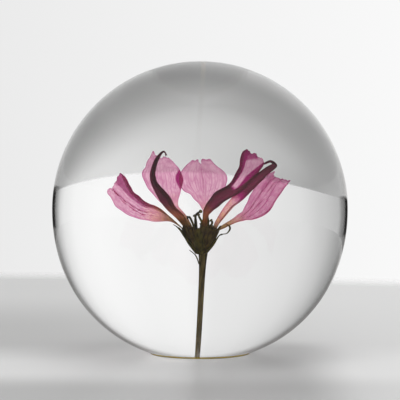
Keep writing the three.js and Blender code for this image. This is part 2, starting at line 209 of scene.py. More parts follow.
# a reflection also finds a low black box standing at each side of the wall, over a dim skirting:
# its top and its foot are heights of the ray's way, which change with how far it turns aside
ray = nodes.new("ShaderNodeLightPath")
turn = calc("ABSOLUTE", calc("SUBTRACT", bearing, 1.0))
beside = calc("MULTIPLY", step(turn, 10, 12), step(turn, 34, 44, 1.0, 0.0))
level = calc("MULTIPLY_ADD", calc("MAXIMUM", bearing, 0.0), -0.001, -0.081)
box_top = calc("MULTIPLY_ADD", turn, 0.0032, level)
box_foot = calc("MULTIPLY_ADD", turn, -0.0012, level)
soft_edge = 0.005
below_top = step(calc("SUBTRACT", way.outputs["Z"], box_top), -soft_edge, soft_edge, 1.0, 0.0)
above_foot = step(calc("SUBTRACT", way.outputs["Z"], box_foot), -soft_edge, soft_edge, 0.75, 1.0)
box = calc("MULTIPLY", beside, calc("MULTIPLY", below_top, above_foot))
dark = calc("MULTIPLY", box, ray.outputs["Is Reflection Ray"])
# straight overhead it is much brighter, though a reflection doesn't show it
sky = nodes["Background"]
overhead = calc("MULTIPLY", step(way.outputs["Z"], 0.88, 0.96),
                calc("SUBTRACT", 1.0, ray.outputs["Is Reflection Ray"]))
links.new(calc("MULTIPLY_ADD", overhead, 2.5, 1.0), sky.inputs["Strength"])
links.new(blend(dark, wall.outputs["Color"], (0.03, 0.03, 0.03, 1)), sky.inputs["Color"])

# ---- The camera ---------------------------------------------------------------------------------
# A long lens, a little above the ball's middle, looking at a point just over it.

camera_distance = 20 * ball_radius
camera_pitch = math.radians(4)
ball_width_in_frame = 0.7405  # the ball's width as a share of the frame's
aim = ball_centre + np.array([0.0, 0.0, 0.062 * ball_radius])  # leaves more room above the ball
camera_data = bpy.data.cameras.new("camera")
camera_data.sensor_width = 36
half_view = math.tan(math.asin(ball_radius / camera_distance)) / ball_width_in_frame
camera_data.lens = camera_data.sensor_width / 2 / half_view
camera = bpy.data.objects.new("camera", camera_data)
camera.location = aim + camera_distance * np.array(
    [0, -math.cos(camera_pitch), math.sin(camera_pitch)])
camera.rotation_euler = (math.pi / 2 - camera_pitch, 0, 0)
bpy.context.scene.collection.objects.link(camera)
bpy.context.scene.camera = camera
bpy.context.scene.view_settings.view_transform = "Standard"

# ---- The pad under the ball ---------------------------------------------------------------------
# A thin disc of clear vinyl, stuck under the ground foot so that the ball can't scratch a desk or
# slide. Its rounded rim is coloured amber.

pad_low, pad_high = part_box("foot_pad")
pad_radius = (pad_high.x - pad_low.x) / 2
pad_thickness = pad_high.z - pad_low.z
rim_colour = (1.0, 0.72, 0.08, 1)


def turned(profile, sides):
    """Vertices and faces of a profile (radius, height) turned about +Z: each profile point makes a
    ring, x = radius cos(angle), y = radius sin(angle), and both ends close on a point on the axis."""
    profile = np.asarray(profile, float)
    angle = np.linspace(0, 2 * np.pi, sides, endpoint=False)
    rings = np.stack([
        np.outer(profile[:, 0], np.cos(angle)),
        np.outer(profile[:, 0], np.sin(angle)),
        np.repeat(profile[:, 1:], sides, axis=1)], axis=2)
    return closed_tube(rings)


def closed_tube(rings):
    """Vertices and faces of a tube through rings of points, an array (ring, side, 3): quads join
    each ring to the next, and a fan of triangles closes each end on the end ring's middle."""
    count, sides = rings.shape[:2]
    vertices = np.concatenate([
        rings.reshape(-1, 3), rings[0].mean(0)[None], rings[-1].mean(0)[None]])
    ring, side = np.meshgrid(np.arange(count - 1), np.arange(sides), indexing="ij")
    here, onward = ring * sides + side, ring * sides + (side + 1) % sides
    quads = np.stack([here, onward, onward + sides, here + sides], axis=2).reshape(-1, 4)
    side = np.arange(sides)
    start = np.stack([(side + 1) % sides, side, np.full(sides, count * sides)], axis=1)
    end = (count - 1) * sides
    finish = np.stack([side + end, (side + 1) % sides + end, np.full(sides, count * sides + 1)], axis=1)
    return vertices, quads.tolist() + start.tolist() + finish.tolist()


rim = pad_thickness / 2
bend = np.linspace(-np.pi / 2, np.pi / 2, 9)
pad_profile = np.stack([pad_radius - rim + rim * np.cos(bend), rim + rim * np.sin(bend)], axis=1)
pad_profile = np.concatenate([[[pad_radius / 2, 0]], pad_profile, [[pad_radius / 2, pad_thickness]]])

pad_finish, nodes, links, out = make_material("clear_vinyl")
vinyl = nodes.new("ShaderNodeBsdfPrincipled")
vinyl.inputs["Roughness"].default_value = 0.25
vinyl.inputs["Transmission Weight"].default_value = 0.55
vinyl.inputs["IOR"].default_value = 1.45
coords = nodes.new("ShaderNodeTexCoord")
cloud = nodes.new("ShaderNodeTexNoise")
cloud.inputs["Scale"].default_value = 400
links.new(coords.outputs["Object"], cloud.inputs["Vector"])
calc, step, blend = tree_maker(nodes, links)
from_middle = nodes.new("ShaderNodeVectorMath")
from_middle.operation = "LENGTH"
links.new(coords.outputs["Object"], from_middle.inputs[0])
rim_part = step(from_middle.outputs["Value"], 0.94 * pad_radius, 0.98 * pad_radius)
flat = blend(cloud.outputs["Fac"], (0.93, 0.92, 0.88, 1), (0.97, 0.96, 0.92, 1))
links.new(blend(rim_part, flat, rim_colour), vinyl.inputs["Base Color"])
links.new(vinyl.outputs["BSDF"], out.inputs["Surface"])

pad = make_mesh("vinyl_pad", *turned(pad_profile, sides=160), pad_finish)
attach(pad, "root")
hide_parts("foot_pad")

# ---- The ball -----------------------------------------------------------------------------------
# Clear resin cast round the flower in one piece, then turned and polished. Its lower half is a
# little fuller than a half ball, and its foot is ground flat.

foot_radius = 0.345 * ball_radius
foot_arris = 0.2 * MM
foot_clear = 0.02 * MM  # air between the foot and the pad
foot_drop = ball_centre[2] - ball_low.z
power = 2.08  # an ellipse's outline has the power 2, and more is squarer
lower_half = foot_drop / (1 - (foot_radius / ball_radius) ** power) ** (1 / power)


def ball_outline(rows):
    """The ball's profile, foot to crown. The fuller lower half is a superellipse, with r = R c and
    z = -L s, where c and s are a cosine and sine raised to 2 over the power and L is the lower
    half's height. The upper half is a quarter circle."""
    start = math.acos((foot_radius / ball_radius) ** (power / 2))
    low = np.linspace(start, 0, rows // 2, endpoint=False)
    high = np.linspace(0, np.pi / 2, rows // 2, endpoint=False)
    radius = ball_radius * np.concatenate([np.cos(low) ** (2 / power), np.cos(high)])
    height = np.concatenate([-lower_half * np.sin(low) ** (2 / power), ball_radius * np.sin(high)])
    outline = np.stack([radius, ball_centre[2] + height], axis=1)
    foot_z = ball_low.z + foot_clear
    outline[0] = [foot_radius, foot_z + foot_arris / 2]
    foot = [[foot_radius / 2, foot_z], [foot_radius - foot_arris, foot_z]]
    return np.concatenate([foot, outline])


resin, nodes, links, out = make_material("clear_resin")
glass = nodes.new("ShaderNodeBsdfPrincipled")
glass.inputs["Transmission Weight"].default_value = 1.0
glass.inputs["IOR"].default_value = 1.5
coords = nodes.new("ShaderNodeTexCoord")
polish = nodes.new("ShaderNodeTexNoise")
polish.inputs["Scale"].default_value = 60
links.new(coords.outputs["Object"], polish.inputs["Vector"])
smear = nodes.new("ShaderNodeMapRange")
smear.inputs["From Min"].default_value = 0.55
smear.inputs["From Max"].default_value = 0.8
smear.inputs["To Min"].default_value = 0.0
smear.inputs["To Max"].default_value = 0.012
links.new(polish.outputs["Fac"], smear.inputs["Value"])
links.new(smear.outputs["Result"], glass.inputs["Roughness"])
calc, step, blend = tree_maker(nodes, links)
body_tint = blend(polish.outputs["Fac"], (0.985, 0.99, 0.985, 1), (1.0, 1.0, 1.0, 1))
# painted shade: seen nearly edge-on, the rim is painted darker, fading out above the middle, and a
# short length of it at each side is painted black
facing = nodes.new("ShaderNodeLayerWeight").outputs["Facing"]
place = nodes.new("ShaderNodeSeparateXYZ")
links.new(coords.outputs["Object"], place.inputs["Vector"])
height = calc("SUBTRACT", place.outputs["Z"], ball_centre[2])
tilted = calc("MULTIPLY_ADD", place.outputs["X"], 0.026, height)
low_rim = calc("MULTIPLY", step(facing, 0.70, 0.85),
               step(height, 0.2 * ball_radius, 0.55 * ball_radius, 1.0, 0.0))
from_band = calc("ABSOLUTE", calc("ADD", tilted, 0.011 * ball_radius))
side_rim = calc("MULTIPLY", step(facing, 0.78, 0.82),
                step(from_band, 0.115 * ball_radius, 0.125 * ball_radius, 1.0, 0.0))
rim_painted_shade = blend(low_rim, body_tint, (0.12, 0.11, 0.10, 1))
rim_painted_shade = blend(side_rim, rim_painted_shade, (0.004, 0.004, 0.004, 1))
links.new(rim_painted_shade, glass.inputs["Base Color"])
links.new(glass.outputs["BSDF"], out.inputs["Surface"])

globe = make_mesh("cast_ball", *turned(ball_outline(rows=180), sides=256), resin)
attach(globe, "root")
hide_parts("resin_globe")

# ---- The stem -----------------------------------------------------------------------------------
# The flower's own dried stem, cut off level with the foot. It is thickest where it meets the cup
# and a little swollen at the cut, with fine ribs along it.

stem_low, stem_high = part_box("flower_stem")
cup_low, cup_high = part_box("calyx_cup")
stem_radius = 0.55 * MM
stem_top = cup_low.z + 0.2 * MM
stem_length = stem_top - stem_low.z


def swept(path, radius, sides=16, squash=1.0, ribs=0.0, rib_count=5):
    """Rings round a path (point, 3): each ring is a circle of that point's radius, square to the
    path, made by radius (1 + ribs cos(rib_count angle)), and flattened along one way by squash."""
    path = np.asarray(path, float)
    radius = np.broadcast_to(np.asarray(radius, float), len(path))
    ahead = np.gradient(path, axis=0)
    ahead /= np.linalg.norm(ahead, axis=1, keepdims=True)
    across = np.cross(ahead, [0.0, 1.0, 0.0])
    across /= np.linalg.norm(across, axis=1, keepdims=True)
    over = np.cross(across, ahead)
    angle = np.linspace(0, 2 * np.pi, sides, endpoint=False)
    swell = (1 + ribs * np.cos(rib_count * angle))[None, :, None]
    circle = (across[:, None] * np.cos(angle)[None, :, None]
              + squash * over[:, None] * np.sin(angle)[None, :, None])
    return path[:, None] + radius[:, None, None] * swell * circle


def smooth_path(points, count):
    """A Catmull-Rom curve through the points: between each two, the cubic whose slopes at its ends
    are half the chord of their neighbours. The points may be stations of any shape."""
    points = np.asarray(points, float)
    padded = np.concatenate([[2 * points[0] - points[1]], points, [2 * points[-1] - points[-2]]])
    place = np.linspace(0, len(points) - 1, count)
    k = np.minimum(place.astype(int), len(points) - 2)
    t = (place - k).reshape((-1,) + (1,) * (points.ndim - 1))
    p0, p1, p2, p3 = padded[k], padded[k + 1], padded[k + 2], padded[k + 3]
    return 0.5 * (2 * p1 + (p2 - p0) * t + (2 * p0 - 5 * p1 + 4 * p2 - p3) * t ** 2
                  + (3 * p1 - p0 - 3 * p2 + p3) * t ** 3)


def plant_finish(name, dark, light, glow, end=None):
    """Dried plant tissue: two tones along fine streaks, rough, with some light passing through. The
    end, if given, is a paler tone, the height where it is full and the height where it is gone."""
    made, nodes, links, out = make_material(name)
    calc, step, blend = tree_maker(nodes, links)
    coords = nodes.new("ShaderNodeTexCoord")
    stretch = nodes.new("ShaderNodeMapping")
    stretch.inputs["Scale"].default_value = (1600, 1600, 260)
    links.new(coords.outputs["Object"], stretch.inputs["Vector"])
    streaks = nodes.new("ShaderNodeTexNoise")
    streaks.inputs["Scale"].default_value = 1
    streaks.inputs["Detail"].default_value = 4
    links.new(stretch.outputs["Vector"], streaks.inputs["Vector"])
    spread = nodes.new("ShaderNodeMapRange")
    spread.inputs["From Min"].default_value = 0.35
    spread.inputs["From Max"].default_value = 0.65
    links.new(streaks.outputs["Fac"], spread.inputs["Value"])
    tone = blend(spread.outputs["Result"], dark, light)
    if end:
        end_tone, full_height, gone_height = end
        place = nodes.new("ShaderNodeSeparateXYZ")
        links.new(coords.outputs["Object"], place.inputs["Vector"])
        tone = blend(step(place.outputs["Z"], full_height, gone_height, 1.0, 0.0), tone, end_tone)
    bump = nodes.new("ShaderNodeBump")
    bump.inputs["Strength"].default_value = 0.4
    bump.inputs["Distance"].default_value = 0.05 * MM
    links.new(streaks.outputs["Fac"], bump.inputs["Height"])
    tissue = nodes.new("ShaderNodeBsdfPrincipled")
    tissue.inputs["Roughness"].default_value = 0.7
    tissue.inputs["Specular IOR Level"].default_value = 0.1
    links.new(tone, tissue.inputs["Base Color"])
    links.new(bump.outputs["Normal"], tissue.inputs["Normal"])
    through = nodes.new("ShaderNodeBsdfTranslucent")
    links.new(tone, through.inputs["Color"])
    mixed = nodes.new("ShaderNodeMixShader")
    mixed.inputs["Fac"].default_value = glow
    links.new(tissue.outputs["BSDF"], mixed.inputs[1])
    links.new(through.outputs["BSDF"], mixed.inputs[2])
    links.new(mixed.outputs["Shader"], out.inputs["Surface"])
    return made


stem_finish = plant_finish("dried_stem", (0.08, 0.06, 0.022, 1), (0.32, 0.24, 0.085, 1), 0.45,
                           ((0.50, 0.32, 0.05, 1), stem_low.z, stem_low.z + 0.45 * stem_length))
share = np.linspace(0, 1, 80)
top_x = stem_high.x - stem_radius + 0.3 * MM
foot_x = stem_low.x + stem_radius - 0.1 * MM
stem_path = np.stack([
    top_x + (foot_x - top_x) * share ** 1.15,
    np.zeros_like(share),
    stem_top - stem_length * share], axis=1)
stem_swell = stem_radius * (1 + 0.55 * np.exp(-share / 0.07) - 0.08 * np.sin(np.pi * share)
                            + 0.12 * np.exp((share - 1) / 0.08))
stem = make_mesh("stem", *closed_tube(swept(stem_path, stem_swell, sides=24, ribs=0.05)), stem_finish)
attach(stem, "root")
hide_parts("flower_stem")

# ---- The cup ------------------------------------------------------------------------------------
# The dried calyx tube that the petals grow from: a ribbed funnel on top of the stem, hollowed at
# its mouth, with a rough dark skin that shrank as it dried.

cup_radius = (cup_high.x - cup_low.x) / 2
cup_height = cup_high.z - cup_low.z
mouth = np.array([(cup_low.x + cup_high.x) / 2, (cup_low.y + cup_high.y) / 2, cup_high.z])
bowl_depth = 0.5 * cup_height


def cup_rings(rows, sides):
    """Rings of the funnel about its axis: outside, the radius swells from the stem's to the mouth's
    along a smooth curve; inside, it shrinks as a quarter ellipse. Five ribs and finer wrinkles make
    the radius vary round the axis, and the rim rises in five low points."""
    from_foot = [(0.70, -4.8), (0.95, -4.4), (1.35, -3.9), (2.0, -3.0), (2.7, -1.8), (3.2, -0.8),
                 (3.5, 0)]  # (radius, height) in mm, to the mouth
    funnel = smooth_path(from_foot, rows) * MM
    turn = np.linspace(0.12, np.pi / 2 * 0.98, rows // 2)
    radius = np.concatenate([funnel[:, 0], 0.86 * cup_radius * np.cos(turn)])
    height = np.concatenate([funnel[:, 1], -bowl_depth * np.sin(turn)])
    angle = np.linspace(0, 2 * np.pi, sides, endpoint=False)
    deep = np.clip(radius / cup_radius, 0, 1)[:, None]
    wave = 1 + deep * (0.03 * np.cos(5 * angle + 0.6) + 0.025 * np.cos(17 * angle + 2.1)
                       + 0.012 * np.cos(31 * angle + 0.4))[None]
    rise = 0.45 * MM * (1 + np.cos(5 * angle + 0.6))[None] * deep ** 5
    return np.stack([
        mouth[0] + radius[:, None] * wave * np.cos(angle),
        mouth[1] + radius[:, None] * wave * np.sin(angle),
        mouth[2] + height[:, None] + rise], axis=2)


cup_finish = plant_finish("dried_cup", (0.070, 0.040, 0.016, 1), (0.22, 0.145, 0.03, 1), 0.45)
cup = make_mesh("cup", *closed_tube(cup_rings(rows=28, sides=90)), cup_finish)
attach(cup, "root")
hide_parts("calyx_cup")

# ---- The petals ---------------------------------------------------------------------------------
# Seven papery petals with narrow claws set round the cup's mouth. Some lie open and show their
# veins against the light; others dried folded or edge-on, and painted shade makes them look
# nearly black-red.

far_left_low, far_left_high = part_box("petal_far_left")
drawn_reach = 17.7 * MM
bloom = (mouth[0] - far_left_low.x) / drawn_reach
petal_thickness = 0.09 * MM
hem_lift = 0.25 * MM
crease_lift = 0.25 * MM
seat_radius = 0.7 * cup_radius
seat_depth = 0.14 * cup_height


def tissue_group():
    """The pattern of petal tissue, by its place on the petal: along, 0 at the claw to 1 at the tip,
    and across, -1 to 1. Fine veins fan out from the claw and fork, with a net of small ones between.
    Where the petal lies folded, its fold mark is painted shade that darkens it, first to magenta and
    then to maroon. Its root in the cup is dark."""
    group = bpy.data.node_groups.new("petal_tissue", "ShaderNodeTree")
    for name in ("Blade", "Claw", "Vein", "Lap", "Folded", "Folded Claw", "Root"):
        group.interface.new_socket(name, in_out="INPUT", socket_type="NodeSocketColor")
    for name, share in (("Root End", 0.2), ("Claw End", 0.4)):
        socket = group.interface.new_socket(name, in_out="INPUT", socket_type="NodeSocketFloat")
        socket.default_value = share
    for name, kind in (("Color", "NodeSocketColor"), ("Height", "NodeSocketFloat"),
                       ("Fold", "NodeSocketFloat")):
        group.interface.new_socket(name, in_out="OUTPUT", socket_type=kind)
    nodes, links = group.nodes, group.links
    calc, step, blend = tree_maker(nodes, links)
    given, result = nodes.new("NodeGroupInput"), nodes.new("NodeGroupOutput")
    coords = nodes.new("ShaderNodeTexCoord")

    def noise(scale, detail=2.0):
        node = nodes.new("ShaderNodeTexNoise")
        node.inputs["Scale"].default_value = scale
        node.inputs["Detail"].default_value = detail
        links.new(coords.outputs["Object"], node.inputs["Vector"])
        return node.outputs["Fac"]

    uv = nodes.new("ShaderNodeUVMap")
    uv.uv_map = "petal"
    split = nodes.new("ShaderNodeSeparateXYZ")
    links.new(uv.outputs["UV"], split.inputs["Vector"])
    along = split.outputs["X"]
    across = calc("MULTIPLY_ADD", split.outputs["Y"], 2.0, -1.0)
    wobble = calc("MULTIPLY_ADD", noise(420), 1.3, -0.65)

    def vein_fan(count, low, high):
        place = calc("FRACT", calc("ADD", calc("MULTIPLY", across, count), wobble))
        return step(calc("ABSOLUTE", calc("SUBTRACT", place, 0.5)), low, high, 1.0, 0.0)

    main = calc("MULTIPLY", vein_fan(4.0, 0.03, 0.13), step(along, 0.45, 1.0, 1.0, 0.45))
    forks = calc("MULTIPLY", vein_fan(9.0, 0.03, 0.2), step(along, 0.35, 0.6, 0.0, 0.7))
    net = nodes.new("ShaderNodeTexVoronoi")
    net.feature = "DISTANCE_TO_EDGE"
    net.inputs["Scale"].default_value = 800
    links.new(coords.outputs["Object"], net.inputs["Vector"])
    small = step(net.outputs["Distance"], 0.0, 0.12, 0.6, 0.0)
    veins = calc("MAXIMUM", calc("MAXIMUM", main, forks), small)
    patch = step(noise(800, 4.0), 0.45, 0.75, 0.0, 0.4)
    margin = calc("MAXIMUM", step(calc("ABSOLUTE", across), 0.95, 1.0, 0.0, 0.85),
                  step(along, 0.975, 1.0, 0.0, 0.85))
    mark = nodes.new("ShaderNodeAttribute")
    mark.attribute_name = "fold"
    fold = calc("ADD", mark.outputs["Fac"], calc("MULTIPLY", calc("SUBTRACT", noise(1500), 0.5), 0.25))
    fold = calc("MULTIPLY", fold, step(mark.outputs["Fac"], 0.0, 0.1))
    claw = step(calc("ADD", along, calc("MULTIPLY", wobble, 0.12)),
                0.1, given.outputs["Claw End"], 1.0, 0.0)
    colour = blend(claw, given.outputs["Blade"], given.outputs["Claw"])
    colour = blend(calc("MULTIPLY", veins, 0.75), colour, given.outputs["Vein"])
    colour = blend(calc("MAXIMUM", patch, margin), colour, given.outputs["Vein"])
    dark = blend(claw, given.outputs["Folded"], given.outputs["Folded Claw"])
    lap = blend(claw, given.outputs["Lap"], given.outputs["Folded Claw"])
    # painted shade: the fold mark darkens the tissue to magenta, then to maroon
    colour = blend(calc("MINIMUM", calc("MULTIPLY", fold, 2.0), 1.0), colour, lap)
    colour = blend(calc("MAXIMUM", calc("MULTIPLY_ADD", fold, 2.0, -1.0), 0.0), colour, dark)
    root = step(calc("ADD", along, calc("MULTIPLY", wobble, 0.05)),
                0.05, given.outputs["Root End"], 1.0, 0.0)
    links.new(blend(root, colour, given.outputs["Root"]), result.inputs["Color"])
    links.new(veins, result.inputs["Height"])
    links.new(calc("MAXIMUM", fold, calc("MULTIPLY", root, 0.6)), result.inputs["Fold"])
    return group


tissue = tissue_group()


def petal_finish(name, claw, claw_end, folded_claw, root_end):
    """Petal tissue that light comes through: a scattering sheet, partly plainly clear where it lies
    in one layer. Light is coloured once, on its way in, and leaves by the other face unchanged."""
    made, nodes, links, out = make_material(name)
    calc, step, blend = tree_maker(nodes, links)
    pattern = nodes.new("ShaderNodeGroup")
    pattern.node_tree = tissue
    for socket, value in (
            ("Blade", (1.0, 0.56, 0.72, 1)), ("Claw", claw), ("Vein", (0.62, 0.11, 0.34, 1)),
            ("Lap", (0.48, 0.012, 0.20, 1)), ("Folded", (0.20, 0.022, 0.060, 1)),
            ("Folded Claw", folded_claw), ("Root", (0.18, 0.105, 0.03, 1)), ("Root End", root_end),
            ("Claw End", claw_end)):
        pattern.inputs[socket].default_value = value
    bump = nodes.new("ShaderNodeBump")
    bump.inputs["Strength"].default_value = 0.5
    bump.inputs["Distance"].default_value = 0.06 * MM
    links.new(pattern.outputs["Height"], bump.inputs["Height"])
    skin = nodes.new("ShaderNodeBsdfPrincipled")
    skin.inputs["Roughness"].default_value = 0.6
    skin.inputs["Specular IOR Level"].default_value = 0.1
    through = nodes.new("ShaderNodeBsdfTranslucent")
    window = nodes.new("ShaderNodeBsdfTransparent")
    for node, socket in ((skin, "Base Color"), (through, "Color"), (window, "Color")):
        links.new(pattern.outputs["Color"], node.inputs[socket])
    for node in (skin, through):
        links.new(bump.outputs["Normal"], node.inputs["Normal"])

    def mixed(factor, first, second):
        node = nodes.new("ShaderNodeMixShader")
        if isinstance(factor, float):
            node.inputs["Fac"].default_value = factor
        else:
            links.new(factor, node.inputs["Fac"])
        links.new(first, node.inputs[1])
        links.new(second, node.inputs[2])
        return node.outputs["Shader"]

    lit = mixed(0.95, skin.outputs["BSDF"], through.outputs["BSDF"])
    clear = step(pattern.outputs["Fold"], 0.0, 0.8, 0.73, 0.25)
    seen = mixed(clear, lit, window.outputs["BSDF"])
    side = nodes.new("ShaderNodeNewGeometry")
    inside = nodes.new("ShaderNodeBsdfTransparent")
    links.new(mixed(side.outputs["Backfacing"], seen, inside.outputs["BSDF"]), out.inputs["Surface"])
    return made


def petal_sheet(stations, rows, columns, hems=(0.0, 0.0), tip=(0, 0), ruffle=0.12 * MM, fold=None,
                creases=(), seed=1):
    """A sheet through three ribs, left edge, midrib and right edge, each a smooth curve from root to
    tip: at each point along, the place across is on the parabola through the three. Past an edge
    the sheet turns back over itself as a hem, and stands off it. The tip's outline is moved out by
    the tip values, and seeded waves ruffle the margins. Creases (start, end, width, dark) are raised
    lines from one place across to another, darkened along them by painted shade. The fold mark,
    which paints shade where the tissue lies doubled, comes from the function fold(along, across).
    Gives points (rows, columns, 3), along, across and fold, each (rows, columns)."""
    random = np.random.default_rng(seed)
    along = np.linspace(0, 1, rows)
    ribs = smooth_path(stations, rows)
    spread = np.linspace(-1 - hems[0], 1 + hems[1], columns)
    hem_share = np.sin(np.pi * np.clip((along - 0.12) / 0.86, 0, 1)) ** 0.5
    past = np.maximum(np.abs(spread) - 1, 0)[None] * hem_share[:, None]
    across = np.sign(spread)[None] * (np.minimum(np.abs(spread), 1)[None] - past)
    left, rib, right = ribs[:, None, 0], ribs[:, None, 1], ribs[:, None, 2]
    a = across[:, :, None]
    points = rib + (right - left) / 2 * a + ((left + right) / 2 - rib) * a ** 2
    ahead = np.gradient(points, axis=0)
    ahead /= np.linalg.norm(ahead, axis=2, keepdims=True) + 1e-12
    aside = right - left + 2 * a * (left + right - 2 * rib)
    aside /= np.linalg.norm(aside, axis=2, keepdims=True) + 1e-12
    normal = np.cross(ahead, aside)
    normal /= np.linalg.norm(normal, axis=2, keepdims=True) + 1e-12
    lift = hem_lift * np.sqrt(np.clip(past * 6, 0, 1))
    phase = random.uniform(0, 2 * np.pi, 8)
    along = np.repeat(along[:, None], columns, axis=1)
    wave = sum(np.sin((5 + 4 * k) * along * np.pi + phase[k] + 1.5 * across) / (1 + k) for k in range(4))
    body = np.clip(along / 0.35, 0, 1) ** 2
    height = lift + ruffle * wave * body * (0.25 + 0.75 * np.abs(across) ** 3)
    marks = np.zeros_like(across) if fold is None else np.clip(fold(along, across), 0, 1)
    for start, end, width, dark in creases:
        line = start + (end - start) * along
        near = np.exp(-((across - line) / width) ** 2) * np.clip((along - 0.25) * 6, 0, 1)
        height = height + crease_lift * near
        marks = np.maximum(marks, dark * near)
    tip_places = np.linspace(-1, 1, len(tip))
    reach = np.interp(across, tip_places, tip) * MM * bloom
    ragged = sum(np.sin((9 + 8 * k) * across + phase[k + 4]) / (1.5 + k) for k in range(4)) * 0.14 * MM
    at_tip = np.clip((along - 0.72) / 0.28, 0, 1) ** 3
    points = points + normal * height[:, :, None] + ahead * ((reach + ragged) * at_tip)[:, :, None]
    return points, along, across, marks


def sheet_object(name, points, along, across, marks, material, thickness):
    """A thin closed body from a sheet's points: a grid of quads with its place on the petal as UVs
    and its fold marks as an attribute, given its thickness by a Solidify modifier."""
    rows, columns = points.shape[:2]
    row, column = np.meshgrid(np.arange(rows - 1), np.arange(columns - 1), indexing="ij")
    corner = row * columns + column
    faces = np.stack([corner, corner + 1, corner + columns + 1, corner + columns], axis=2).reshape(-1, 4)
    made = make_mesh(name, points.reshape(-1, 3), faces.tolist(), material)
    uvs = made.data.uv_layers.new(name="petal")
    place = np.stack([along, (across + 1) / 2], axis=2).reshape(-1, 2)
    uvs.data.foreach_set("uv", place[faces.ravel()].ravel())
    made.data.attributes.new("fold", "FLOAT", "POINT").data.foreach_set("value", marks.ravel())
    body = made.modifiers.new("thickness", "SOLIDIFY")
    body.thickness = thickness
    body.offset = 0
    return made


def seated(heading, stations):
    """The stations of a petal in the row frame, with its claw's root added on the ring where the
    petals are seated, at its heading in degrees anticlockwise from the right."""
    stations = np.asarray(stations, float) * MM * bloom
    angle = np.radians(heading + np.array([12, 0, -12]))
    root = np.stack([
        seat_radius * np.cos(angle), seat_radius * np.sin(angle), np.full(3, -seat_depth)], axis=1)
    if np.dot(root[0] - root[2], stations[0, 0] - stations[0, 2]) < 0:
        root = root[::-1]
    return mouth + np.concatenate([root[None], stations])


open_finish = petal_finish("open_petal", (0.98, 0.44, 0.26, 1), 0.55, (0.62, 0.22, 0.06, 1), 0.36)
folded_finish = petal_finish("folded_petal", (0.92, 0.50, 0.22, 1), 0.38, (0.52, 0.18, 0.05, 1), 0.2)
olive_finish = petal_finish("olive_clawed_petal", (0.62, 0.44, 0.10, 1), 0.45, (0.5, 0.3, 0.05, 1), 0.3)


def between(value, low, high, soft=0.04):
    """1 where a value lies between low and high, falling to 0 over a short way outside them."""
    return np.clip((value - low) / soft + 1, 0, 1) * np.clip((high - value) / soft + 1, 0, 1)


# the fold functions give each petal's painted shade, 0 to 1, where its tissue lies doubled
def lobed_fold(along, across):
    """Doubled all along its body. Near the tip one side is doubled too, and so is a slanting strip
    at the other side; between them is a window of single tissue, under a darker lobe."""
    slant = 0.56 + 0.2 * np.clip(across + 0.1, 0, 1.2)
    body = between(along, 0.0, slant, 0.03)
    strip = 0.6 * between(along, slant, slant + 0.12, 0.02) * between(across, 0.0, 1.0, 0.1)
    side = 0.66 * between(across, -1.0, -0.6 + 0.3 * (along - 0.7), 0.05)
    lobe = 0.42 * between(along, 0.9 + 0.1 * across, 1.0, 0.03) * between(across, -1.0, 0.3, 0.1)
    return np.maximum(np.maximum(body, strip), np.maximum(side, lobe))


def notched_fold(along, across):
    """Doubled along one margin, over a strip that is widest where the petal is."""
    bulge = np.sin(np.pi * np.clip((along - 0.5) / 0.3, 0, 1))
    return 0.5 * between(across, 1 - 0.36 * bulge, 2, 0.03) * between(along, 0.5, 0.8)


def rolled_fold(along, across):
    """Doubled from the middle to the tip, and along one margin of the claw."""
    margin = between(across, 0.45, 1, 0.15) * between(along, 0.05, 0.5, 0.05)
    return np.maximum(between(along, 0.4, 1, 0.12), margin)


def shaded_fold(along, across):
    """A little thick all over, and doubled in a patch at one side near the tip."""
    patch = between(across, -0.75, -0.35, 0.1) * between(along, 0.72, 0.95, 0.1)
    return np.maximum(0.16, 0.3 * patch)
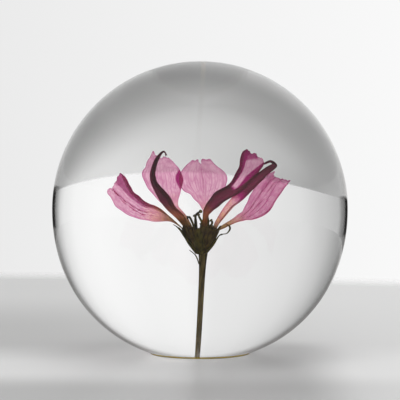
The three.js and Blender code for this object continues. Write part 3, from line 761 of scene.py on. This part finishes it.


# each petal's claw is seated at its heading; its stations are the left edge, the midrib and the
# right edge, in mm from the middle of the cup's mouth
# each petal's fold marks and crease darkness are painted shade
petals = {
    "far_left": dict(
        heading=180, finish=open_finish, slot="open_petal",
        hems=(0.0, 0.25), tip=(0, -0.2, -0.5, -0.1, 0.1),
        fold=lambda along, across: (
            0.36 * between(across, 0.5 - 0.25 * along, 1, 0.05) * between(along, 0.2, 1)),
        creases=[(0.2, -0.3, 0.03, 0.45), (-0.5, -0.15, 0.025, 0.3)], stations=[
            [[-5.4, -0.8, 1.5], [-5.7, -0.2, 2.1], [-5.7, 0.4, 2.5]],
            [[-9.1, -2.5, 1.6], [-8.7, -0.5, 3.2], [-8.2, 1.5, 4.4]],
            [[-12.4, -4.0, 2.5], [-11.0, -1.0, 3.8], [-10.1, 2.5, 5.1]],
            [[-15.9, -4.0, 4.2], [-13.7, -1.0, 5.6], [-12.0, 3.0, 6.9]],
            [[-17.3, -2.5, 6.3], [-15.3, 0.0, 7.4], [-12.9, 3.0, 8.7]],
            [[-17.7, -1.5, 7.5], [-16.4, 0.5, 8.3], [-14.4, 2.5, 10.0]]]),
    "back_left": dict(
        heading=128, finish=open_finish, slot="open_petal",
        hems=(0.0, 0.0), tip=(0.4, 0, -0.3, 0.2, 0), fold=notched_fold,
        creases=[], stations=[
            [[-3.7, 1.6, 1.9], [-3.0, 2.0, 2.0], [-2.3, 2.3, 2.0]],
            [[-6.2, 3.0, 3.9], [-5.0, 4.0, 4.0], [-3.9, 4.6, 4.1]],
            [[-8.9, 4.0, 6.7], [-6.0, 6.0, 6.4], [-3.4, 6.5, 6.5]],
            [[-10.1, 4.5, 9.5], [-6.5, 7.0, 8.9], [-3.0, 7.5, 8.3]],
            [[-9.6, 4.5, 11.2], [-6.7, 7.0, 10.8], [-3.9, 7.5, 10.2]],
            [[-8.5, 4.5, 13.2], [-6.9, 6.0, 12.3], [-5.5, 6.5, 12.1]]]),
    "front_left": dict(
        heading=206, finish=folded_finish, slot="folded_petal",
        hems=(0.3, 0.3), tip=(0, 0), fold=lambda along, across: between(along, 0.22, 1, 0.2),
        creases=[], stations=[
            [[-3.1, -3.0, 2.7], [-4.3, -2.2, 2.0], [-4.0, -1.6, 3.2]],
            [[-4.8, -5.5, 4.6], [-6.4, -4.0, 4.0], [-5.4, -2.5, 5.2]],
            [[-6.1, -8.0, 7.0], [-8.2, -6.0, 6.3], [-7.2, -4.0, 7.0]],
            [[-8.9, -9.5, 10.0], [-9.9, -7.0, 9.9], [-8.8, -4.5, 9.6]],
            [[-9.0, -9.5, 12.6], [-9.8, -7.0, 12.4], [-8.7, -4.5, 11.9]],
            [[-8.2, -8.5, 15.1], [-9.0, -7.0, 14.5], [-8.1, -5.5, 14.1]],
            [[-7.4, -7.5, 15.8], [-7.5, -7.0, 15.9], [-7.4, -6.5, 15.4]],
            [[-6.9, -7.2, 15.0], [-6.8, -7.0, 15.1], [-7.0, -6.8, 14.8]]]),
    "centre": dict(
        heading=84, finish=open_finish, slot="open_petal",
        hems=(0.0, 0.0), tip=(0.6, 0.9, 0.3, 1.6, 1.0), fold=None,
        creases=[(0.0, -0.03, 0.015, 0.35)], stations=[
            [[0.3, 3.0, 2.1], [0.7, 3.4, 2.1], [1.1, 3.0, 2.1]],
            [[0.2, 4.5, 3.6], [0.8, 5.0, 3.7], [1.5, 4.5, 3.9]],
            [[-1.4, 6.0, 5.4], [0.5, 7.0, 5.8], [2.8, 6.0, 5.6]],
            [[-3.2, 6.5, 6.7], [0.4, 8.0, 7.6], [4.0, 6.5, 6.9]],
            [[-3.5, 7.0, 9.2], [0.2, 9.0, 9.1], [4.3, 7.0, 8.9]],
            [[-2.0, 8.0, 11.0], [0.0, 9.3, 10.2], [2.2, 8.0, 10.7]]]),
    "front_right": dict(
        heading=282, finish=folded_finish, slot="folded_petal",
        hems=(0.2, 0.2), tip=(-0.4, -0.5, 0.1, -0.3, 0), fold=lobed_fold,
        creases=[], stations=[
            [[0.3, -3.0, 2.3], [0.8, -3.4, 2.2], [1.3, -3.0, 2.3]],
            [[0.7, -4.0, 4.6], [1.4, -4.8, 4.4], [2.0, -4.0, 3.6]],
            [[2.3, -5.0, 7.0], [3.0, -6.0, 6.2], [3.9, -5.0, 5.2]],
            [[5.4, -6.0, 9.1], [6.6, -7.0, 8.0], [7.8, -6.5, 7.6]],
            [[7.1, -6.0, 12.1], [9.2, -8.0, 11.2], [10.4, -8.0, 10.6]],
            [[7.8, -5.5, 14.8], [10.5, -8.0, 14.0], [12.7, -8.5, 13.4]],
            [[9.3, -5.5, 16.3], [10.9, -7.0, 15.4], [12.4, -8.0, 14.7]]]),
    "folded_right": dict(
        heading=335, finish=folded_finish, slot="folded_petal",
        hems=(0.2, 0.2), tip=(0, 0), fold=rolled_fold,
        creases=[], stations=[
            [[2.6, -1.8, 1.5], [3.1, -1.2, 1.1], [3.4, -0.6, 1.4]],
            [[4.8, -2.5, 5.1], [5.7, -1.5, 4.3], [5.2, 0.0, 3.6]],
            [[7.2, -4.0, 7.5], [8.2, -2.0, 6.4], [7.4, 0.5, 5.6]],
            [[9.7, -4.5, 9.9], [10.5, -2.0, 8.7], [9.7, 0.5, 8.0]],
            [[12.2, -4.0, 12.0], [12.6, -2.0, 10.7], [11.9, 0.0, 10.1]],
            [[13.7, -2.8, 12.8], [14.4, -2.0, 12.2], [14.0, -1.2, 11.9]],
            [[13.0, -2.4, 12.9], [13.2, -2.0, 13.2], [13.1, -1.6, 12.8]],
            [[11.9, -2.3, 12.4], [11.8, -2.0, 12.6], [11.8, -1.7, 12.3]]]),
    "far_right": dict(
        heading=22, finish=olive_finish, slot="open_petal",
        hems=(0.0, 0.15), tip=(0, -0.8, -0.2, 0.2, 0.4), fold=shaded_fold,
        creases=[(-0.2, -0.45, 0.035, 0.5), (0.6, 0.15, 0.035, 0.5), (0.1, -0.05, 0.02, 0.35)],
        stations=[
            [[3.7, 0.5, 0.7], [3.7, 0.9, 0.3], [4.0, 1.2, 0.1]],
            [[6.3, 0.5, 2.4], [6.6, 1.5, 1.9], [6.7, 2.3, 1.5]],
            [[7.7, 0.5, 4.0], [8.5, 3.0, 2.8], [9.1, 4.0, 1.7]],
            [[8.9, 0.0, 6.2], [10.2, 4.0, 4.5], [11.5, 5.0, 2.9]],
            [[10.4, 0.0, 8.4], [11.5, 4.0, 6.2], [13.0, 5.0, 5.1]],
            [[11.8, 0.5, 9.8], [12.8, 3.5, 7.9], [14.3, 4.5, 6.9]],
            [[13.3, 1.0, 10.6], [14.4, 2.5, 9.1], [15.6, 3.5, 8.4]]]),
}
for number, (side, petal) in enumerate(petals.items()):
    sheet = petal_sheet(seated(petal["heading"], petal["stations"]), rows=90, columns=56,
                        hems=petal["hems"], tip=petal["tip"], fold=petal["fold"],
                        creases=petal["creases"], seed=number + 3)
    made = sheet_object(side + "_petal", *sheet, petal["finish"], petal_thickness)
    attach(made, "root")
    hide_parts("petal_" + side)

# ---- The sepals and the small leaf --------------------------------------------------------------
# Five narrow green-brown sepals lie against the cup with their tips free. The right-hand one has
# come away and curled over. A tiny leaf stands out from the stem below the cup.

sepal_finish = plant_finish("dried_sepal", (0.10, 0.075, 0.016, 1), (0.32, 0.25, 0.045, 1), 0.65)
sepal_thickness = 0.14 * MM


def band(path, heading, cupped=0.18):
    """Stations of a narrow leaf in the plane of a heading, from (distance from the axis, height,
    width) in mm: its edges stand to both sides of the path, bent in by cupped of the width."""
    path = np.asarray(path, float) * MM
    angle = np.radians(heading)
    out_way = np.array([np.cos(angle), np.sin(angle), 0])
    side_way = np.array([-np.sin(angle), np.cos(angle), 0])
    rib = mouth + path[:, :1] * out_way + path[:, 1:2] * [0, 0, 1]
    edges = [rib + path[:, 2:] * (side_way * k / 2 - out_way * cupped) for k in (-1, 1)]
    return np.stack([edges[0], rib, edges[1]], axis=1)


# (distance from the axis, height from the mouth, width) in mm, from root to tip
flared = [(0.95, -4.7, 0.8), (1.65, -3.8, 1.6), (2.5, -2.6, 1.9), (3.2, -1.4, 1.7), (3.9, -0.3, 1.2),
          (4.6, 0.5, 0.6), (5.1, 0.9, 0.15)]
straight = [(0.95, -4.7, 0.8), (1.65, -3.8, 1.6), (2.5, -2.6, 1.9), (3.15, -1.4, 1.6), (3.6, -0.4, 1.0),
            (3.85, 0.3, 0.2)]
curled = [(0.95, -4.7, 0.9), (1.65, -3.9, 1.7), (2.4, -2.9, 1.5), (2.95, -1.9, 0.9), (3.4, -1.25, 0.45),
          (4.0, -0.95, 0.45), (4.7, -0.85, 0.55), (5.2, -0.4, 0.7), (5.45, 0.15, 0.75), (5.3, 0.65, 0.6),
          (4.85, 0.9, 0.2)]
sepals = {
    "left": (195, flared), "front": (262, straight), "back_left": (128, straight),
    "back_right": (62, straight), "curled": (350, curled)}
for number, (side, (heading, path)) in enumerate(sepals.items()):
    sheet = petal_sheet(band(path, heading), rows=60, columns=14, ruffle=0.05 * MM, seed=number + 20)
    made = sheet_object(side + "_sepal_leaf", *sheet, sepal_finish, sepal_thickness)
    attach(made, "root")
    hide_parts("sepal_" + side)

bract_path = [(0.45, -6.6, 0.35), (0.55, -6.2, 0.4), (0.75, -5.6, 0.5), (1.05, -5.0, 0.45),
              (1.5, -4.5, 0.3), (2.0, -4.1, 0.1)]
sheet = petal_sheet(band(bract_path, heading=180), rows=40, columns=10, ruffle=0.03 * MM, seed=40)
bract = sheet_object("small_leaf", *sheet, sepal_finish, sepal_thickness)
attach(bract, "root")
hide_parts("bract")

# ---- The stamens and the pistil -----------------------------------------------------------------
# Thread-like dried stamens stand in the cup and bend over, each with a small lumpy anther on its
# end. The thicker pistil stands in the middle.

stamen_finish = plant_finish("dried_stamen", (0.05, 0.04, 0.012, 1), (0.32, 0.26, 0.05, 1), 0.6)
# points of each thread in mm from the middle of the mouth, from root to anther
stamens = {
    "stamen_1": [(-1.2, -0.2, -1.3), (-1.35, -0.3, 0.6), (-1.7, -0.4, 1.7),
                 (-2.1, -0.5, 2.4), (-2.6, -0.5, 2.3)],
    "stamen_2": [(-0.6, -1.2, -1.3), (-1.0, -1.2, 0.6), (-1.0, -1.2, 2.4),
                 (-0.7, -1.4, 3.1), (0.2, -1.5, 3.6)],
    "stamen_3": [(0.6, -1.1, -1.3), (0.3, -1.2, 0.6), (0.1, -1.0, 1.6),
                 (-0.3, -0.7, 2.4), (-0.5, -0.6, 3.0)],
    "stamen_4": [(1.2, -0.3, -1.3), (1.3, -0.3, 0.2), (1.9, -0.2, 0.9),
                 (2.0, -0.2, 1.5), (1.7, -0.3, 1.9)],
    "stamen_5": [(0.9, 0.9, -1.3), (1.2, 1.1, 0.4), (1.3, 1.2, 1.4),
                 (1.2, 1.3, 2.2), (1.0, 1.4, 2.8)],
    "stamen_6": [(-0.6, 1.1, -1.3), (-0.8, 1.2, 0.4), (-0.9, 1.3, 1.5),
                 (-1.0, 1.5, 2.2), (-1.2, 1.7, 2.7)],
}
thread_rows = 60
share = np.linspace(0, 1, thread_rows)
filament = (0.16 + 0.05 * np.sin(np.pi * share)) * MM
anther = 0.34 * MM * np.sqrt(np.clip(1 - ((share - 0.93) / 0.07) ** 2, 0, 1))
for name, points in stamens.items():
    path = smooth_path(mouth + np.array(points) * MM, thread_rows)
    rings = swept(path, np.maximum(filament, anther), sides=12, ribs=0.12, rib_count=3)
    made = make_mesh(name + "_thread", *closed_tube(rings), stamen_finish)
    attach(made, "root")
    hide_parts(name)

pistil_points = [(0, 0, -2.2), (0.05, 0, -1), (0, 0, 0.2), (0.1, 0, 1.2)]
pistil_radius = (0.34 - 0.14 * share + 0.16 * np.exp(-((share - 0.95) / 0.05) ** 2)) * MM
path = smooth_path(mouth + np.array(pistil_points) * MM, thread_rows)
rings = swept(path, pistil_radius, sides=16, ribs=0.08)
pistil = make_mesh("pistil_column", *closed_tube(rings), stamen_finish)
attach(pistil, "root")
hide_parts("pistil")
